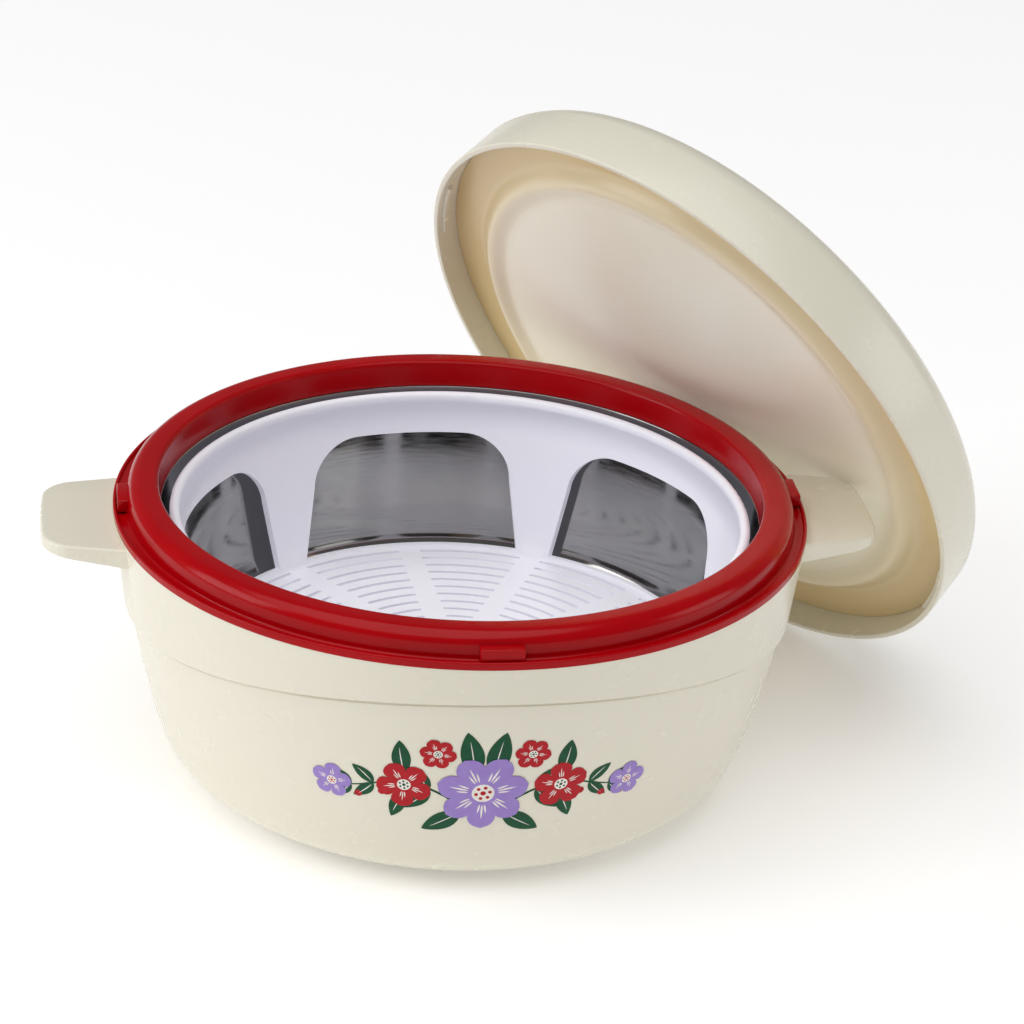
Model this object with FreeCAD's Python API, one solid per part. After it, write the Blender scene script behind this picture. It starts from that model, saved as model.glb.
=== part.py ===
"""Insulated chapati casserole: round pot, slotted lift-out basket and a lift-off lid.

Millimetres, +Z up.  The origin is the middle of the pot's base, on the surface that it
stands on.  The two handles lie along X and the pot's front faces -Y.  The lid is taken
off: it stands on its edge behind the pot and leans on it, with its inside to the pot.
"""
import FreeCAD, Part
import math
import os

os.makedirs("parts", exist_ok=True)

# Pot: outer shell
rim_radius = 120.0            # outer radius at the joint between the shell and the collar
pot_height = 96.0             # base to that joint
shell_wall = 2.2              # moulded wall of the outer shell
base_wall = 2.6               # bottom of the outer shell
# outside of the bowl below the band: (share of the pot's height, inset from rim_radius)
bowl_outline = [(0.05, 28.6), (0.12, 19.8), (0.22, 15.2), (0.35, 11.9),
                (0.50, 8.6), (0.68, 5.4), (0.86, 2.9), (1.00, 1.8)]
base_inset = 38.0             # inset of the flat base from rim_radius
band_top_inset = 0.2          # the band under the collar stands just inside the collar
band_slope = 0.112            # how much the band draws in for each millimetre down
band_front_depth = 13.2       # height of the band at the front and the back
band_arc_radius = 396.0       # the band's lower edge dips towards the handles in this arc

# Handles, one moulding with the shell
handle_reach = 23.4           # how far a handle stands out past rim_radius
handle_root_width = 60.0
handle_tip_width = 49.0
handle_drop = 1.4             # top of the handle below the joint
handle_root_depth = 7.0
handle_tip_depth = 3.6
handle_wall = 2.0
handle_corner = 11.0
handle_edge_round = 1.1
handle_tip_bow = 1.2          # the tip's edge bows out by this much in plan
handle_inset = 1.6            # the handle starts this far inside the band's outside

# Filling hole in the base, closed by a plug
plug_offset = 34.0
plug_hole_radius = 8.0
plug_head_radius = 11.0
plug_head_thickness = 1.0
plug_depth = 5.0
plug_clearance = 0.15
plug_head_recess = 0.2        # the head lies this far above the surface the pot stands on

# Steel liner
steel = 0.6
liner_mouth_step = 0.1        # the mouth stands this far behind the collar's inner wall
liner_taper = 4.8             # the foot's inside is this much smaller in radius than the mouth
liner_floor = 29.0            # top of the liner's floor
liner_foot_round = 11.0
liner_flange_width = 7.6      # the flange that the collar holds down

# Red collar
collar_height = 10.4          # bead above the joint
collar_wall = 2.2
bead_outer_inset = 5.4        # bead's outside at its top, from rim_radius
bead_foot_inset = 4.4
bead_width = 10.0             # across the bead's top
bead_outer_round = 4.8
bead_inner_round = 1.6
flange_thickness = 1.5
lip_height = 1.2
lip_thickness = 1.1
collar_skirt_depth = 6.0      # ring that plugs into the shell's mouth
collar_fit = 0.2
collar_inner_lean = 1.1       # the bead's inner wall leans in by this much

# Twist-lock lugs on the collar
lug_count = 4
lug_width = 14.5
lug_height = 4.6
lug_reach = 3.0
lug_rise = 0.6                # underside above the flange
lug_round = 0.8

# Insulation
foam_gap = 0.2

# Chapati basket
basket_rim_rise = 0.4         # top of the rim above the joint
basket_rim_clearance = 3.0    # rounded rim's outside to the liner's mouth
basket_rim_thickness = 3.4
basket_rim_depth = 3.6
basket_wall = 1.8
basket_floor_thickness = 2.0
basket_taper = 7.6            # the wall's outside at the floor is this much inside the rim's
basket_foot_width = 2.2       # ring under the floor that rests on the liner
basket_foot_height = 4.1
basket_rest_gap = 0.3
basket_turn = 34.6            # how the basket happens to be turned in the pot, degrees
basket_foot_inset = 8.0
arch_count = 6
arch_leg_angle = 10.4         # width of a leg at the floor, degrees
arch_top_drop = 15.4          # arch's crown below the rim
arch_spread = 3.6             # extra width of a leg at the top of its sides, degrees
arch_corner = 17.0
arch_foot = 1.2               # arches end this far above the floor
rib_count = 12
rib_width = 8.0
slot_width = 1.5
slot_pitch = 5.94
slot_edge_margin = 5.0        # outermost slot's middle to the wall's outside at the floor
slot_inner_radius = 16.0

# Lid: its skirt is flush with the collar, so rim_radius is its outside at the mouth
lid_wall = 2.2
lid_skirt_height = 19.0
lid_skirt_inset = 1.2         # the skirt draws in towards the shoulder
lid_shoulder_inset = 18.0
lid_shoulder_height = 29.0
lid_dome_height = 42.0        # middle of the domed top
lid_shoulder_bulge = 3.6      # the shoulder's arc stands out of its chord

# Lid's inner panel
panel_depth = 9.8             # panel's annulus below the lid's mouth
panel_disc_depth = 6.7        # middle disc below the mouth
panel_wall = 1.8
panel_fit = 0.2
panel_edge_height = 5.0       # upturned edge that is welded to the skirt
ring_crest_inset = 24.0       # raised ring's crest from the lid's outside
ring_outer_run = 7.2          # crest to the ring's outer foot
ring_inner_run = 7.5          # crest to its inner foot
ring_crest_depth = 4.8        # crest of the raised ring below the mouth
rib_lock_width = 31.0
rib_lock_height = 1.8
rib_lock_reach = 1.6
rib_lock_depth = 2.4          # rib's near side from the mouth
rib_lock_turn = 28.0          # where the first rib stands, degrees round the lid

# How the lid leans
lid_heading = 37.84           # direction that the lid's top faces, degrees from +X
lid_elevation = 28.22         # how much it faces up, degrees
lean_gap = 0.35               # between the lid's disc and the handle that it leans on
floor_gap = 0.05

# Sizes that follow from those above
liner_top_radius = (rim_radius - bead_outer_inset - bead_width - collar_inner_lean
                    + liner_mouth_step)
liner_foot_radius = liner_top_radius - liner_taper
basket_top = pot_height + basket_rim_rise
basket_rim_radius = liner_top_radius - basket_rim_clearance
basket_floor_radius = basket_rim_radius - basket_taper
basket_floor_top = (liner_floor + basket_rest_gap + basket_foot_height
                    + basket_floor_thickness)
slot_outer_radius = basket_floor_radius - slot_edge_margin
ring_crest_radius = rim_radius - ring_crest_inset
ring_outer_radius = ring_crest_radius + ring_outer_run
ring_inner_radius = ring_crest_radius - ring_inner_run

Z = FreeCAD.Vector(0, 0, 1)
ORIGIN = FreeCAD.Vector(0, 0, 0)
FULL_TURN = 360.0
EIGHTH = math.sqrt(0.5)       # sine and cosine of an eighth of a turn
FAR = 4.0 * rim_radius
MESH_TOLERANCE = 0.1
CLOSE = 0.001                 # finds an edge that lies on a plane


def vec(x, y, z=0.0):
    return FreeCAD.Vector(x, y, z)


def section_point(radius, height):
    """A point of a turned piece's section, in the XZ plane."""
    return FreeCAD.Vector(radius, 0.0, height)


def line(a, b):
    return Part.makeLine(section_point(*a), section_point(*b))


def arc(a, through, b):
    return Part.Arc(section_point(*a), section_point(*through), section_point(*b)).toShape()


def curve(points):
    spline = Part.BSplineCurve()
    spline.interpolate([section_point(*p) for p in points])
    return spline.toShape()


def turned(edges):
    """Solid of revolution about Z from a closed section."""
    face = Part.Face(Part.Wire(edges))
    solid = face.revolve(ORIGIN, Z, FULL_TURN)
    return Part.makeSolid(solid.Shells[0]) if solid.ShapeType != "Solid" else solid


def polygon(points):
    """Closed section through straight runs."""
    closed = list(points) + [points[0]]
    return [line(a, b) for a, b in zip(closed, closed[1:])]


def rotated(shape, degrees):
    copy = shape.copy()
    copy.rotate(ORIGIN, Z, degrees)
    return copy


def solid_of(shape):
    """The one solid of a boolean's result."""
    clean = shape.removeSplitter()
    solids = sorted(clean.Solids, key=lambda s: s.Volume)
    return solids[-1]


def export(shape, name):
    shape.exportStep("parts/%s.step" % name)
    print("%-18s solids %d volume %.1f valid %s" % (
        name, len(shape.Solids), shape.Volume, shape.isValid()))


# Outer shell


def bowl_points(offset):
    """Bowl's outside drawn in by offset, from the base's edge to the joint."""
    return [(rim_radius - inset - offset, share * pot_height) for share, inset in bowl_outline]


def band_radius(height):
    return rim_radius - band_top_inset - band_slope * (pot_height - height)


def bowl_solid(offset, bottom, top):
    """Solid bowl shape, drawn in by offset, with its flat bottom at the given height."""
    base_radius = rim_radius - base_inset
    points = [(base_radius, bottom)] + [p for p in bowl_points(offset) if p[1] > bottom]
    last = points[-1]
    edges = [curve(points)]
    if top > last[1]:
        edges.append(line(last, (last[0], top)))
    edges += [line((last[0], max(top, last[1])), (0, max(top, last[1]))),
              line((0, max(top, last[1])), (0, bottom)),
              line((0, bottom), (base_radius, bottom))]
    return turned(edges)


def band_solid():
    """Band under the collar: thicker than the bowl, its lower edge an arc seen from the front."""
    top = pot_height
    side_drop = band_arc_radius - math.sqrt(band_arc_radius ** 2 - rim_radius ** 2)
    lowest = top - band_front_depth - side_drop
    solid = turned(polygon([(0, lowest), (band_radius(lowest), lowest),
                            (band_radius(top), top), (0, top)]))
    centre_height = top - band_front_depth - band_arc_radius
    roller = Part.makeCylinder(band_arc_radius, FAR, vec(0, -FAR / 2, centre_height),
                               vec(0, 1, 0))
    return solid.cut(roller)


def handle_root():
    """Where a handle starts: its widest part still begins inside the wall of the band."""
    wall = band_radius(pot_height - handle_drop - handle_root_depth)
    return math.sqrt(wall ** 2 - (handle_root_width / 2) ** 2) - handle_inset


def handle_prism(inset, low, high):
    """Plan of the handle on the +X side, drawn in by inset and raised from low to high."""
    root = handle_root()
    tip = rim_radius + handle_reach - inset
    half_root = handle_root_width / 2 - inset
    half_tip = handle_tip_width / 2 - inset
    corners = [vec(root, -half_root, low), vec(tip, -half_tip, low),
               vec(tip, half_tip, low), vec(root, half_root, low)]
    edges = [Part.makeLine(corners[0], corners[1]),
             Part.Arc(corners[1], vec(tip + handle_tip_bow, 0, low), corners[2]).toShape(),
             Part.makeLine(corners[2], corners[3]),
             Part.makeLine(corners[3], corners[0])]
    prism = Part.Face(Part.Wire(edges)).extrude(vec(0, 0, high - low))
    tip_corners = [e for e in prism.Edges
                   if e.BoundBox.XMin > rim_radius and e.BoundBox.YLength < handle_edge_round
                   and e.BoundBox.ZLength > (high - low) / 2]
    return prism.makeFillet(handle_corner - inset, tip_corners)


def handle_solid():
    """Tab handle: flat top, underside that rises to the tip, hollow underneath."""
    root = handle_root()
    tip = rim_radius + handle_reach
    top = pot_height - handle_drop
    low = top - handle_root_depth
    slope = (handle_root_depth - handle_tip_depth) / (tip - root)
    far = tip + 2 * handle_tip_bow
    side = Part.Face(Part.makePolygon([
        vec(root, -FAR, top), vec(far, -FAR, top),
        vec(far, -FAR, low + slope * (far - root)), vec(root, -FAR, low),
        vec(root, -FAR, top)]))
    body = handle_prism(0.0, low, top).common(side.extrude(vec(0, 2 * FAR, 0)))
    top_edges = [e for e in body.Edges
                 if e.BoundBox.ZMin > top - CLOSE and e.BoundBox.XMax > rim_radius]
    body = body.makeFillet(handle_edge_round, top_edges)
    pocket = handle_prism(handle_wall, low - handle_wall, top - handle_wall)
    outside = Part.makeCylinder(rim_radius + handle_wall, FAR, vec(0, 0, -FAR / 2))
    return body.cut(pocket.cut(outside))


def plug_place():
    return vec(0, plug_offset, 0)


def collar_skirt_radius():
    """Outside of the collar's skirt, which plugs into the shell's mouth."""
    return rim_radius - bowl_outline[-1][1] - shell_wall - collar_fit


def make_outer_shell():
    outside = bowl_solid(0.0, 0.0, pot_height)
    band = band_solid()
    body = outside.fuse(band)
    handle = handle_solid()
    body = body.fuse([handle, rotated(handle, 180.0)])
    hollow = bowl_solid(shell_wall, base_wall, pot_height + shell_wall)
    seat = Part.makeCylinder(collar_skirt_radius() + collar_fit, FAR,
                             vec(0, 0, pot_height - collar_skirt_depth - collar_fit))
    body = body.cut(hollow.fuse(seat))
    hole = Part.makeCylinder(plug_hole_radius, 2 * base_wall, plug_place())
    counterbore = Part.makeCylinder(plug_head_radius + plug_clearance,
                                    plug_head_thickness + plug_head_recess, plug_place())
    return solid_of(body.cut(hole.fuse(counterbore)))


def make_base_plug():
    head_bottom = plug_head_recess
    head = Part.makeCylinder(plug_head_radius, plug_head_thickness - plug_clearance,
                             plug_place() + vec(0, 0, head_bottom))
    stem = Part.makeCylinder(plug_hole_radius - plug_clearance, plug_depth - head_bottom,
                             plug_place() + vec(0, 0, head_bottom))
    bore = Part.makeCylinder(plug_hole_radius - plug_clearance - shell_wall / 2, plug_depth,
                             plug_place() + vec(0, 0, head_bottom + plug_head_thickness))
    return solid_of(head.fuse(stem).cut(bore))


# Steel liner


def liner_section(offset, floor):
    """Inside line of the liner moved out by offset: floor, foot curve and wall."""
    foot = liner_foot_radius + offset
    top = liner_top_radius + offset
    round_radius = liner_foot_round + offset
    middle = (foot - round_radius * (1 - EIGHTH), floor + round_radius * (1 - EIGHTH))
    return foot, top, round_radius, middle


def liner_solid(offset, floor, top_height):
    foot, top, round_radius, middle = liner_section(offset, floor)
    return turned([line((0, floor), (foot - round_radius, floor)),
                   arc((foot - round_radius, floor), middle, (foot, floor + round_radius)),
                   line((foot, floor + round_radius), (top, top_height)),
                   line((top, top_height), (0, top_height)),
                   line((0, top_height), (0, floor))])


def liner_flange_height():
    return pot_height + steel


def make_liner():
    body = liner_solid(steel, liner_floor - steel, liner_flange_height())
    flange = Part.makeCylinder(liner_top_radius + liner_flange_width, steel,
                               vec(0, 0, pot_height))
    hollow = liner_solid(0.0, liner_floor, liner_flange_height() + steel)
    return solid_of(body.fuse(flange).cut(hollow))


# Red collar


def make_collar():
    joint = pot_height
    top = joint + collar_height
    floor = joint + flange_thickness
    outer = rim_radius - bead_outer_inset
    foot = rim_radius - bead_foot_inset
    inner = outer - bead_width
    inner_foot = inner - collar_inner_lean
    seat = liner_flange_height()
    under = top - collar_wall
    ro = bead_outer_round
    ri = bead_inner_round
    lip_in = rim_radius - lip_thickness
    lip_top = floor + lip_height
    skirt_out = collar_skirt_radius()
    skirt_in = skirt_out - collar_wall
    edges = [
        line((rim_radius, joint), (rim_radius, lip_top - lip_thickness / 2)),
        arc((rim_radius, lip_top - lip_thickness / 2),
            (rim_radius - lip_thickness / 2, lip_top),
            (lip_in, lip_top - lip_thickness / 2)),
        line((lip_in, lip_top - lip_thickness / 2), (lip_in, floor)),
        line((lip_in, floor), (foot, floor)),
        line((foot, floor), (outer, top - ro)),
        arc((outer, top - ro), (outer - ro * (1 - EIGHTH), top - ro * (1 - EIGHTH)),
            (outer - ro, top)),
        line((outer - ro, top), (inner + ri, top)),
        arc((inner + ri, top), (inner + ri * (1 - EIGHTH), top - ri * (1 - EIGHTH)),
            (inner, top - ri)),
        line((inner, top - ri), (inner_foot, seat)),
        line((inner_foot, seat), (inner_foot + collar_wall, seat)),
        line((inner_foot + collar_wall, seat), (inner + collar_wall, under)),
        line((inner + collar_wall, under), (outer - collar_wall, under)),
        line((outer - collar_wall, under), (skirt_in, joint)),
        line((skirt_in, joint), (skirt_in, joint - collar_skirt_depth)),
        line((skirt_in, joint - collar_skirt_depth), (skirt_out, joint - collar_skirt_depth)),
        line((skirt_out, joint - collar_skirt_depth), (skirt_out, joint)),
        line((skirt_out, joint), (rim_radius, joint)),
    ]
    body = turned(edges)
    for index in range(lug_count):
        lug = lug_solid(floor, foot)
        body = body.fuse(rotated(lug, index * FULL_TURN / lug_count))
    return solid_of(body)


def lug_solid(floor, foot):
    """One twist-lock lug on the bead's outside, at +X."""
    start = foot - collar_wall / 2
    block = Part.makeBox(foot + lug_reach - start, lug_width, lug_height,
                         vec(start, -lug_width / 2, floor + lug_rise))
    outer_edges = [e for e in block.Edges if e.BoundBox.XMin > foot + lug_reach - CLOSE]
    return block.makeFillet(lug_round, outer_edges)


# Insulation between shell and liner


def make_body_foam():
    bottom = base_wall + foam_gap
    top = pot_height - collar_skirt_depth - foam_gap
    block = bowl_solid(shell_wall + foam_gap, bottom, pot_height)
    lid_cut = Part.makeCylinder(FAR, FAR, vec(0, 0, top))
    skirt_in = collar_skirt_radius() - collar_wall - foam_gap
    core = Part.makeCylinder(skirt_in, pot_height - foam_gap - top, vec(0, 0, top))
    block = block.cut(lid_cut).fuse(core)
    hollow = liner_solid(steel + foam_gap, liner_floor - steel - foam_gap,
                         pot_height + steel)
    plug_room = Part.makeCylinder(plug_hole_radius + foam_gap, plug_depth + foam_gap,
                                  plug_place())
    return solid_of(block.cut(hollow.fuse(plug_room)))


# Chapati basket


def basket_wall_radius(height):
    """Outside of the basket's tapered wall."""
    top_radius = basket_rim_radius - (basket_rim_thickness - basket_wall) / 2
    share = (height - basket_floor_top) / (basket_top - basket_floor_top)
    return basket_floor_radius + (top_radius - basket_floor_radius) * share


def arch_cutter():
    """One arch's opening, as a block from the axis out to +X with a rounded crown."""
    low = basket_floor_top + arch_foot
    high = basket_top - arch_top_drop
    half_angle = math.radians(FULL_TURN / arch_count / 2 - arch_leg_angle / 2)
    radius = basket_wall_radius((low + high) / 2)
    half_low = radius * math.sin(half_angle)
    half_high = half_low - radius * math.sin(math.radians(arch_spread / 2))
    shoulder = high - arch_corner
    crown = half_high - arch_corner
    bend = arch_corner * EIGHTH
    edges = [Part.makeLine(vec(0, -half_low, low), vec(0, half_low, low)),
             Part.makeLine(vec(0, half_low, low), vec(0, half_high, shoulder)),
             Part.Arc(vec(0, half_high, shoulder), vec(0, crown + bend, shoulder + bend),
                      vec(0, crown, high)).toShape(),
             Part.makeLine(vec(0, crown, high), vec(0, -crown, high)),
             Part.Arc(vec(0, -crown, high), vec(0, -crown - bend, shoulder + bend),
                      vec(0, -half_high, shoulder)).toShape(),
             Part.makeLine(vec(0, -half_high, shoulder), vec(0, -half_low, low))]
    return Part.Face(Part.Wire(edges)).extrude(vec(FAR, 0, 0))


def slot_ring(radius):
    """One ring of slots before the ribs cross it: a thin ring right through the floor."""
    low = basket_floor_top - 2 * basket_floor_thickness
    depth = 3 * basket_floor_thickness
    outer = Part.makeCylinder(radius + slot_width / 2, depth, vec(0, 0, low))
    inner = Part.makeCylinder(radius - slot_width / 2, depth, vec(0, 0, low))
    return outer.cut(inner)


def make_basket():
    top = basket_top
    low = basket_floor_top - basket_floor_thickness
    foot_low = liner_floor + basket_rest_gap
    rim_in = basket_rim_radius - basket_rim_thickness
    rim_low = top - basket_rim_depth
    half = basket_rim_thickness / 2
    wall_out_low = basket_wall_radius(low)
    wall_out_rim = basket_wall_radius(rim_low)
    wall = turned(polygon([(wall_out_low - basket_wall, low), (wall_out_low, low),
                           (wall_out_rim, rim_low), (wall_out_rim - basket_wall, rim_low)]))
    rim = turned([line((rim_in, rim_low), (basket_rim_radius, rim_low)),
                  line((basket_rim_radius, rim_low), (basket_rim_radius, top - half)),
                  arc((basket_rim_radius, top - half), (basket_rim_radius - half, top),
                      (rim_in, top - half)),
                  line((rim_in, top - half), (rim_in, rim_low))])
    cutter = arch_cutter()
    for index in range(arch_count):
        wall = wall.cut(rotated(cutter, index * FULL_TURN / arch_count))
    floor = Part.makeCylinder(wall_out_low - basket_wall / 2, basket_floor_thickness,
                              vec(0, 0, low))
    foot_out = basket_floor_radius - basket_foot_inset
    foot = turned(polygon([(foot_out - basket_foot_width, foot_low), (foot_out, foot_low),
                           (foot_out, low), (foot_out - basket_foot_width, low)]))
    rib = Part.makeBox(FAR, rib_width, FAR, vec(0, -rib_width / 2, 0))
    ribs = [rotated(rib, index * FULL_TURN / rib_count) for index in range(rib_count)]
    star = ribs[0].fuse(ribs[1:])
    ring_count = int((slot_outer_radius - slot_inner_radius) / slot_pitch) + 1
    rings = [slot_ring(slot_outer_radius - index * slot_pitch) for index in range(ring_count)]
    slots = rings[0].fuse(rings[1:]).cut(star)
    floor = floor.cut(slots)
    return rotated(solid_of(wall.fuse([rim, floor, foot])), basket_turn)


# Lid, drawn mouth down at the origin and then stood on its edge


def lid_dome():
    """Radius of the lid's domed top and the height of its centre."""
    half = rim_radius - lid_shoulder_inset
    rise = lid_dome_height - lid_shoulder_height
    radius = (half * half + rise * rise) / (2 * rise)
    return radius, lid_dome_height - radius


def unit(a, b):
    """Direction from a to b in a section, one long."""
    run = (b[0] - a[0], b[1] - a[1])
    length = math.hypot(*run)
    return run[0] / length, run[1] / length


def stepped(point, direction, distance):
    return point[0] + direction[0] * distance, point[1] + direction[1] * distance


def moved_in(corner, normal_a, normal_b, offset):
    """A section's corner moved in so that both of its sides move in by offset."""
    both = (normal_a[0] + normal_b[0], normal_a[1] + normal_b[1])
    turn = normal_a[0] * normal_b[0] + normal_a[1] * normal_b[1]
    return stepped(corner, both, -offset / (1 + turn))


def lid_solid(offset):
    """Everything inside the lid's outside, moved in by offset, down to its mouth."""
    dome_radius, dome_height = lid_dome()
    dome_centre = (0.0, dome_height)
    skirt_top = (rim_radius - lid_skirt_inset, lid_skirt_height)
    edge = (rim_radius - lid_shoulder_inset, lid_shoulder_height)
    along = unit((rim_radius, 0.0), skirt_top)
    skirt_out = (along[1], -along[0])
    chord = unit(skirt_top, edge)
    chord_out = (chord[1], -chord[0])
    half = math.dist(skirt_top, edge) / 2
    bend_radius = (half ** 2 + lid_shoulder_bulge ** 2) / (2 * lid_shoulder_bulge)
    middle = stepped(stepped(skirt_top, chord, half), chord_out, lid_shoulder_bulge)
    bend_centre = stepped(middle, chord_out, -bend_radius)
    mouth = (rim_radius - offset / skirt_out[0], 0.0)
    start = moved_in(skirt_top, skirt_out, unit(bend_centre, skirt_top), offset)
    radius = dome_radius - offset
    cap = moved_in(edge, unit(bend_centre, edge), unit(dome_centre, edge), offset)[0]
    end = (cap, dome_height + math.sqrt(radius ** 2 - cap ** 2))
    share = cap / 2
    dome_middle = (share, dome_height + math.sqrt(radius ** 2 - share ** 2))
    apex = (0.0, dome_height + radius)
    return turned([line((0, 0), mouth), line(mouth, start),
                   arc(start, stepped(middle, chord_out, -offset), end),
                   arc(end, dome_middle, apex),
                   line(apex, (0, 0))])


def lock_rib():
    """One bayonet rib inside the skirt, at +X."""
    inside = rim_radius - lid_wall
    outer = Part.makeCylinder(inside + lid_wall / 2, rib_lock_height, vec(0, 0, rib_lock_depth))
    inner = Part.makeCylinder(inside - rib_lock_reach, rib_lock_height,
                              vec(0, 0, rib_lock_depth))
    sector = Part.makeBox(FAR, rib_lock_width, FAR, vec(0, -rib_lock_width / 2, 0))
    return outer.cut(inner).common(sector)


def make_lid_shell():
    body = lid_solid(0.0).cut(lid_solid(lid_wall))
    rib = lock_rib()
    for index in range(lug_count):
        body = body.fuse(rotated(rib, rib_lock_turn + index * FULL_TURN / lug_count))
    return solid_of(body)


def panel_edge_radius():
    """Panel's edge, just inside the skirt at the panel's depth."""
    taper = lid_skirt_inset * panel_depth / lid_skirt_height
    return rim_radius - lid_wall - taper - panel_fit


def ring_flank(foot_radius, foot_depth, offset):
    """The raised ring's side as two arcs, foot first, moved off the panel's face by offset."""
    run = ring_crest_radius - foot_radius
    drop = foot_depth - ring_crest_depth
    radius = (run ** 2 + drop ** 2) / (4 * drop)
    steepest = 2 * math.atan2(drop, abs(run))
    side = math.copysign(1.0, run)

    def on_foot(angle):
        return (foot_radius + side * (radius + offset) * math.sin(angle),
                foot_depth - radius + (radius + offset) * math.cos(angle))

    def on_crest(angle):
        return (ring_crest_radius - side * (radius - offset) * math.sin(angle),
                ring_crest_depth + radius - (radius - offset) * math.cos(angle))

    return [arc(on_foot(0.0), on_foot(steepest / 2), on_foot(steepest)),
            arc(on_crest(steepest), on_crest(steepest / 2), on_crest(0.0))]


def panel_block(offset, height):
    """Everything above the panel's face, moved up by offset, up to a height."""
    disc = panel_disc_depth + offset
    ledge = panel_depth + offset
    edge = panel_edge_radius()
    outer_flank = ring_flank(ring_outer_radius, panel_depth, offset)
    return turned([line((0, disc), (ring_inner_radius, disc))]
                  + ring_flank(ring_inner_radius, panel_disc_depth, offset)
                  + outer_flank[::-1]
                  + [line((ring_outer_radius, ledge), (edge, ledge)),
                     line((edge, ledge), (edge, height)),
                     line((edge, height), (0, height)),
                     line((0, height), (0, disc))])


def make_lid_panel():
    height = panel_depth + panel_edge_height
    body = panel_block(0.0, height)
    inner = panel_block(panel_wall, height + panel_wall)
    keep = Part.makeCylinder(panel_edge_radius() - panel_wall, FAR, vec(0, 0, 0))
    skirt_room = lid_solid(lid_wall + panel_fit)
    return solid_of(body.cut(inner.common(keep)).common(skirt_room))


def make_lid_foam():
    room = lid_solid(lid_wall + foam_gap)
    above = panel_block(panel_wall + foam_gap, FAR)
    keep = Part.makeCylinder(panel_edge_radius() - panel_wall - foam_gap, FAR, vec(0, 0, 0))
    return solid_of(room.common(above).common(keep))


def stand_lid(shapes, carriers):
    """Stand the lid on its edge and lean it on what carries it."""
    heading = math.radians(lid_heading)
    elevation = math.radians(lid_elevation)
    facing = vec(math.cos(elevation) * math.cos(heading),
                 math.cos(elevation) * math.sin(heading), math.sin(elevation))
    turn = FreeCAD.Rotation(Z, lid_heading).multiply(
        FreeCAD.Rotation(vec(0, 1, 0), 90.0 - lid_elevation))
    reach = max(facing.dot(point) for shape in carriers
                for point in shape.tessellate(MESH_TOLERANCE)[0])
    mouth = reach - (panel_disc_depth - lean_gap)
    height = floor_gap + rim_radius * math.cos(elevation)
    distance = (mouth - height * math.sin(elevation)) / math.cos(elevation)
    centre = vec(distance * math.cos(heading), distance * math.sin(heading), height)
    placement = FreeCAD.Placement(centre, turn)
    print("lid centre %.2f %.2f %.2f facing %.4f %.4f %.4f" % (
        centre.x, centre.y, centre.z, facing.x, facing.y, facing.z))
    stood = []
    for shape in shapes:
        copy = shape.copy()
        copy.Placement = placement
        stood.append(copy)
    return stood


outer_shell = make_outer_shell()
collar_ring = make_collar()
lid_shell, lid_inner_panel, lid_foam = stand_lid(
    [make_lid_shell(), make_lid_panel(), make_lid_foam()], [outer_shell, collar_ring])

export(outer_shell, "outer_shell")
export(make_base_plug(), "base_plug")
export(make_body_foam(), "body_foam")
export(make_liner(), "steel_liner")
export(collar_ring, "collar_ring")
export(make_basket(), "chapati_basket")
export(lid_shell, "lid_shell")
export(lid_inner_panel, "lid_inner_panel")
export(lid_foam, "lid_foam")
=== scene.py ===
"""Looks of an insulated casserole with a slotted basket and a lift-off lid.

The frame gives every size and place.  Each operator makes one piece or a group of like
pieces in metres, in the frame's own axes: +Z up, handles along X, the pot's front to -Y.
"""
import math

import bmesh
import bpy
from bpy.props import FloatProperty, PointerProperty
from mathutils import Matrix, Vector
from mathutils.bvhtree import BVHTree


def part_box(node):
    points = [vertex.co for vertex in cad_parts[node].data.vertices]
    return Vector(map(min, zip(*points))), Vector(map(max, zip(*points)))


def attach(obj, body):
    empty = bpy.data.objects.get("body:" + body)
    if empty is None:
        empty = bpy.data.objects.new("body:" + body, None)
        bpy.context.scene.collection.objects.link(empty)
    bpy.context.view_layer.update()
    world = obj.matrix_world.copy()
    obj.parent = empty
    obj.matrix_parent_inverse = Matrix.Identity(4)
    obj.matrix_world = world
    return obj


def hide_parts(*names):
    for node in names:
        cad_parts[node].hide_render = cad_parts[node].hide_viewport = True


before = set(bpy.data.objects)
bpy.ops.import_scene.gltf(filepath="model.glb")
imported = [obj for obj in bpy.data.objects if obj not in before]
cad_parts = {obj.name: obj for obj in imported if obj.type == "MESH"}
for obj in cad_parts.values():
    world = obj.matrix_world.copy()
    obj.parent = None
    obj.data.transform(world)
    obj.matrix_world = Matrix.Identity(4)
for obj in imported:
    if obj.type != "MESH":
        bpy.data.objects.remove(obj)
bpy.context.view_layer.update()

bl_info = {
    "name": "Insulated casserole looks",
    "version": (1, 0, 0),
    "blender": (4, 5, 0),
    "location": "View3D > Sidebar > Casserole",
    "description": "Builds the visible pieces, finishes and studio of an insulated casserole",
    "category": "Object",
}

MM = 0.001
TURN = 2.0 * math.pi
SHARP_ANGLE = math.radians(24.0)
WELD = 0.002 * MM
FLAT_WELD = 0.001             # the same for flat shapes, in millimetres
ROUND_STEP = 12.0             # degrees of a rounding for each of its points
TURNED_STEPS = 256            # sides of a turned piece
SHELL_STEPS = 288             # sides of the shell, whose outline changes round the pot

# Lid's place: the middle of its mouth and the way that its top faces
LID_CENTRE = (88.29 * MM, 68.58 * MM, 105.79 * MM)
LID_HEADING = math.radians(37.84)
LID_ELEVATION = math.radians(28.22)

# Camera, from the photograph's own perspective
CAMERA_PLACE = (-0.13715, -1.02370, 0.58671)
CAMERA_HEADING = math.radians(8.62)
CAMERA_TILT = math.radians(25.459)
CAMERA_ROLL = math.radians(3.289)
CAMERA_LENS = 115.8
SENSOR = 36.0

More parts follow.
